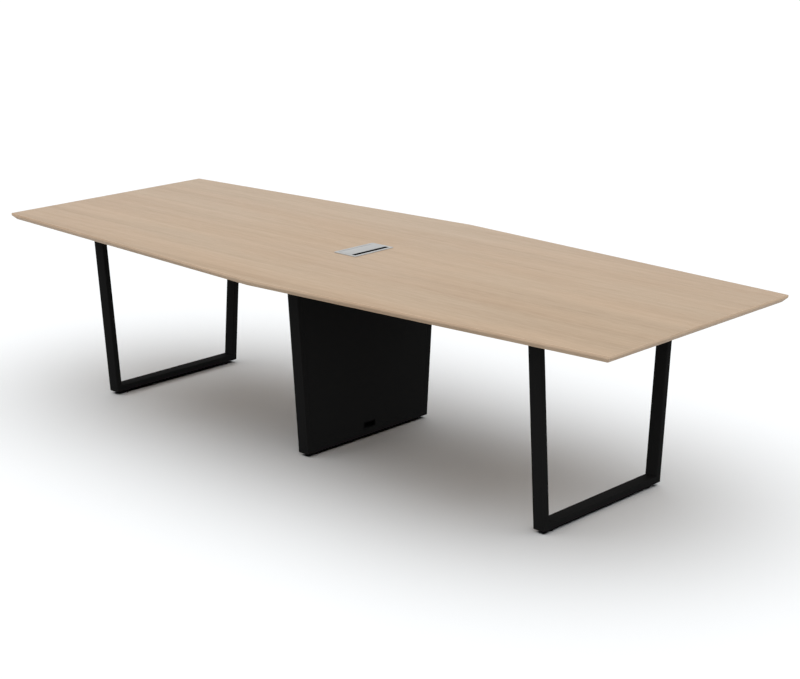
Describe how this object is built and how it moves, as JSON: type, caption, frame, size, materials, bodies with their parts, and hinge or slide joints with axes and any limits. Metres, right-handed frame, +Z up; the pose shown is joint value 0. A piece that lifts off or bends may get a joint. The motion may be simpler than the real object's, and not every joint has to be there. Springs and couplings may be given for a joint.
{
  "type": "conference table",
  "caption": "Long six-sided conference table with a bevelled wood-decor top, black steel loop legs, a cable pedestal and a hinged, brush-sealed cable port.",
  "frame": {"origin": "on the floor, under the middle of the top, between the feet", "axes": "+X along the length of the top, towards the side of the port that has the brush; +Y across the top; +Z up"},
  "size_m": [3, 1.2, 0.7276],
  "materials": {
    "top_decor": "matt wood decor with a fine long grain",
    "edge_decor": "matt wood-decor edge band",
    "black_powder_coat": "fine-textured black powder coat",
    "zinc_plate": "bright zinc plating",
    "black_plastic": "moulded matt black plastic",
    "satin_aluminium": "satin anodised aluminium",
    "brush_fibre": "black nylon bristle"
  },
  "bodies": {
    "table": {"top_panel": "top_decor", "edge_band_near_left": "edge_decor", "edge_band_near_right": "edge_decor", "edge_band_right_end": "edge_decor", "edge_band_far_right": "edge_decor", "edge_band_far_left": "edge_decor", "edge_band_left_end": "edge_decor", "left_loop_near_leg": "black_powder_coat", "left_loop_far_leg": "black_powder_coat", "left_loop_foot_bar": "black_powder_coat", "left_loop_top_bar": "black_powder_coat", "left_loop_near_lug": "black_powder_coat", "left_loop_far_lug": "black_powder_coat", "left_loop_near_foot_insert": "zinc_plate", "left_loop_far_foot_insert": "zinc_plate", "left_near_beam": "black_powder_coat", "left_far_beam": "black_powder_coat", "right_loop_near_leg": "black_powder_coat", "right_loop_far_leg": "black_powder_coat", "right_loop_foot_bar": "black_powder_coat", "right_loop_top_bar": "black_powder_coat", "right_loop_near_lug": "black_powder_coat", "right_loop_far_lug": "black_powder_coat", "right_loop_near_foot_insert": "zinc_plate", "right_loop_far_foot_insert": "zinc_plate", "right_near_beam": "black_powder_coat", "right_far_beam": "black_powder_coat", "pedestal_near_post": "black_powder_coat", "pedestal_far_post": "black_powder_coat", "pedestal_foot_bar": "black_powder_coat", "pedestal_near_top_stub": "black_powder_coat", "pedestal_far_top_stub": "black_powder_coat", "pedestal_near_lug": "black_powder_coat", "pedestal_far_lug": "black_powder_coat", "pedestal_near_foot_insert": "zinc_plate", "pedestal_far_foot_insert": "zinc_plate", "cover_hanger_near_low": "zinc_plate", "cover_hanger_near_high": "zinc_plate", "cover_hanger_far_low": "zinc_plate", "cover_hanger_far_high": "zinc_plate", "pedestal_front_cover": "black_powder_coat", "cable_outlet_bezel": "black_plastic", "port_frame": "satin_aluminium", "port_hinge_pin": "zinc_plate", "port_brush": "brush_fibre", "cable_well": "black_powder_coat"},
    "lid": {"port_lid": "satin_aluminium"},
    "rear_cover": {"pedestal_rear_cover": "black_powder_coat"},
    "left_near_foot": {"left_loop_near_foot_pad": "black_plastic", "left_loop_near_foot_stud": "zinc_plate"},
    "left_far_foot": {"left_loop_far_foot_pad": "black_plastic", "left_loop_far_foot_stud": "zinc_plate"},
    "pedestal_near_foot": {"pedestal_near_foot_pad": "black_plastic", "pedestal_near_foot_stud": "zinc_plate"},
    "pedestal_far_foot": {"pedestal_far_foot_pad": "black_plastic", "pedestal_far_foot_stud": "zinc_plate"},
    "right_near_foot": {"right_loop_near_foot_pad": "black_plastic", "right_loop_near_foot_stud": "zinc_plate"},
    "right_far_foot": {"right_loop_far_foot_pad": "black_plastic", "right_loop_far_foot_stud": "zinc_plate"}
  },
  "joints": [
    {"name": "lid_hinge", "type": "hinge", "parent": "table", "child": "lid", "pos_m": [-0.0382, 0, 0.7241], "axis": [0, -1, 0], "range_deg": [0, 100]},
    {"name": "rear_cover_lift", "type": "slide", "parent": "table", "child": "rear_cover", "axis": [0, 0, 1], "range_m": [0, 0.01]},
    {"name": "left_near_foot_screw", "type": "slide", "parent": "table", "child": "left_near_foot", "axis": [0, 0, -1], "range_m": [0, 0.012]},
    {"name": "left_far_foot_screw", "type": "slide", "parent": "table", "child": "left_far_foot", "axis": [0, 0, -1], "range_m": [0, 0.012]},
    {"name": "pedestal_near_foot_screw", "type": "slide", "parent": "table", "child": "pedestal_near_foot", "axis": [0, 0, -1], "range_m": [0, 0.012]},
    {"name": "pedestal_far_foot_screw", "type": "slide", "parent": "table", "child": "pedestal_far_foot", "axis": [0, 0, -1], "range_m": [0, 0.012]},
    {"name": "right_near_foot_screw", "type": "slide", "parent": "table", "child": "right_near_foot", "axis": [0, 0, -1], "range_m": [0, 0.012]},
    {"name": "right_far_foot_screw", "type": "slide", "parent": "table", "child": "right_far_foot", "axis": [0, 0, -1], "range_m": [0, 0.012]}
  ]
}
